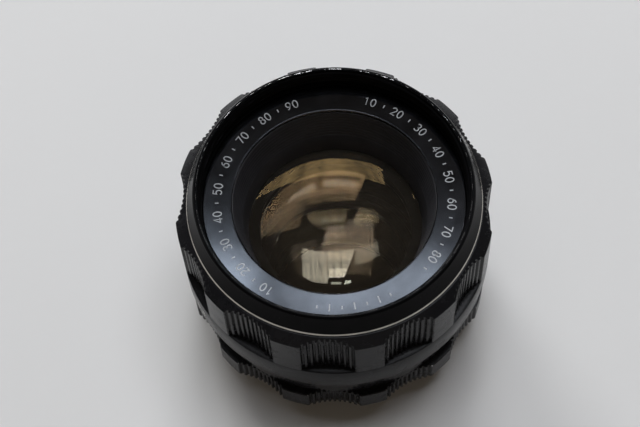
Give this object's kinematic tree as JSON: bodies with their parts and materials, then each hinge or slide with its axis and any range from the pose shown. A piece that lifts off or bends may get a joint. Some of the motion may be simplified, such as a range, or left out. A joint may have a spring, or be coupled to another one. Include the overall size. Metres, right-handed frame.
{
  "type": "prime camera lens",
  "caption": "Manual-focus prime lens with ribbed focusing and aperture rings, iris, coated glass and a screw mount, standing on its mount end.",
  "frame": {"origin": "centre of the rear end of the screw thread, on which the lens stands", "axes": "+Z along the optical axis out of the front glass; the stop-down pin lies on the -Y side"},
  "size_m": [0.058, 0.058, 0.0426],
  "materials": {
    "black_satin": "black anodised, satin, edges worn to bare metal",
    "name_plate": "black anodised, satin, engraved marks filled white",
    "black_matte": "matte black",
    "blade_steel": "blued spring steel",
    "barrel_metal": "black anodised",
    "helicoid_brass": "greased brass",
    "helicoid_alloy": "bare turned aluminium",
    "screw_steel": "turned steel",
    "spring_bronze": "phosphor bronze",
    "tab_black": "black anodised, grooved",
    "coated_glass": "amber single-layer coating",
    "inner_glass": "polished",
    "rear_glass": "purple-amber coating"
  },
  "bodies": {
    "barrel": {"main_barrel": "barrel_metal", "mount_flange": "barrel_metal", "mount_screws": "screw_steel", "rear_plate": "barrel_metal", "rear_baffle": "black_matte", "guide_key_1": "screw_steel", "guide_key_2": "screw_steel", "guide_key_screws": "screw_steel", "dof_ring": "black_satin", "dof_ring_screws": "screw_steel", "focus_stop_pin": "screw_steel", "click_ball": "screw_steel", "click_spring": "spring_bronze", "click_spring_screw": "screw_steel", "pin_bracket": "screw_steel"},
    "focus": {"focus_ring": "black_satin", "focus_ring_screws": "screw_steel", "focus_sleeve": "helicoid_brass", "sleeve_retaining_ring": "helicoid_alloy"},
    "optics": {"inner_helicoid": "helicoid_alloy", "front_barrel": "black_satin", "front_barrel_screws": "screw_steel", "name_ring": "name_plate", "front_cone": "black_matte", "focus_shim": "helicoid_brass", "cell_retaining_ring": "helicoid_alloy", "front_cell": "black_matte", "lens_1": "coated_glass", "lens_spacer_1": "black_matte", "lens_2": "inner_glass", "lens_spacer_2": "black_matte", "lens_3": "inner_glass", "front_cell_screws": "screw_steel", "iris_housing": "black_matte", "iris_cover": "black_matte", "rear_cell": "black_matte", "rear_cell_screws": "screw_steel", "lens_4": "inner_glass", "lens_5": "inner_glass", "rear_group_ring": "black_matte", "lens_6": "rear_glass", "rear_retaining_ring": "black_matte"},
    "aperture": {"aperture_ring": "black_satin", "aperture_lever": "screw_steel"},
    "actuator": {"iris_actuator": "black_matte"},
    "switch": {"mode_switch": "tab_black"},
    "pin": {"stop_down_pin": "screw_steel", "stop_down_spring": "screw_steel"},
    "blade_1": {"iris_blade_1": "blade_steel"},
    "blade_2": {"iris_blade_2": "blade_steel"},
    "blade_3": {"iris_blade_3": "blade_steel"},
    "blade_4": {"iris_blade_4": "blade_steel"},
    "blade_5": {"iris_blade_5": "blade_steel"},
    "blade_6": {"iris_blade_6": "blade_steel"}
  },
  "joints": [
    {"name": "focus_turn", "type": "hinge", "parent": "barrel", "child": "focus", "pos_m": [0, 0, 0.029], "axis": [0, 0, -1], "range_deg": [0, 240]},
    {"name": "block_slide", "type": "slide", "parent": "barrel", "child": "optics", "axis": [0, 0, 1], "range_m": [0, 0.0091]},
    {"name": "aperture_turn", "type": "hinge", "parent": "barrel", "child": "aperture", "pos_m": [0, 0, 0.009], "axis": [0, 0, 1], "range_deg": [0, 55]},
    {"name": "actuator_turn", "type": "hinge", "parent": "optics", "child": "actuator", "pos_m": [0, 0, 0.0144], "axis": [0, 0, 1], "range_deg": [0, 55]},
    {"name": "blade_1_turn", "type": "hinge", "parent": "optics", "child": "blade_1", "pos_m": [0.01825, 0, 0.0131], "axis": [0, 0, 1], "range_deg": [0, 30]},
    {"name": "blade_2_turn", "type": "hinge", "parent": "optics", "child": "blade_2", "pos_m": [0.00912, 0.0158, 0.0131], "axis": [0, 0, 1], "range_deg": [0, 30]},
    {"name": "blade_3_turn", "type": "hinge", "parent": "optics", "child": "blade_3", "pos_m": [-0.00912, 0.0158, 0.0131], "axis": [0, 0, 1], "range_deg": [0, 30]},
    {"name": "blade_4_turn", "type": "hinge", "parent": "optics", "child": "blade_4", "pos_m": [-0.01825, 0, 0.0131], "axis": [0, 0, 1], "range_deg": [0, 30]},
    {"name": "blade_5_turn", "type": "hinge", "parent": "optics", "child": "blade_5", "pos_m": [-0.00912, -0.0158, 0.0131], "axis": [0, 0, 1], "range_deg": [0, 30]},
    {"name": "blade_6_turn", "type": "hinge", "parent": "optics", "child": "blade_6", "pos_m": [0.00912, -0.0158, 0.0131], "axis": [0, 0, 1], "range_deg": [0, 30]},
    {"name": "switch_turn", "type": "hinge", "parent": "barrel", "child": "switch", "pos_m": [0, 0, 0.0174], "axis": [0, 0, 1], "range_deg": [0, 10]},
    {"name": "pin_slide", "type": "slide", "parent": "barrel", "child": "pin", "axis": [0, 0, 1], "range_m": [0, 0.0015], "stiffness_N_per_m": 100, "springref_m": -0.003, "deforming": ["stop_down_spring"]}
  ],
  "couplings": [
    {"joint": "block_slide", "follows": "focus_turn", "m_per_rad": 0.002172},
    {"joint": "actuator_turn", "follows": "aperture_turn", "ratio": 1},
    {"joint": "blade_1_turn", "follows": "aperture_turn", "ratio": 0.54545},
    {"joint": "blade_2_turn", "follows": "aperture_turn", "ratio": 0.54545},
    {"joint": "blade_3_turn", "follows": "aperture_turn", "ratio": 0.54545},
    {"joint": "blade_4_turn", "follows": "aperture_turn", "ratio": 0.54545},
    {"joint": "blade_5_turn", "follows": "aperture_turn", "ratio": 0.54545},
    {"joint": "blade_6_turn", "follows": "aperture_turn", "ratio": 0.54545}
  ]
}
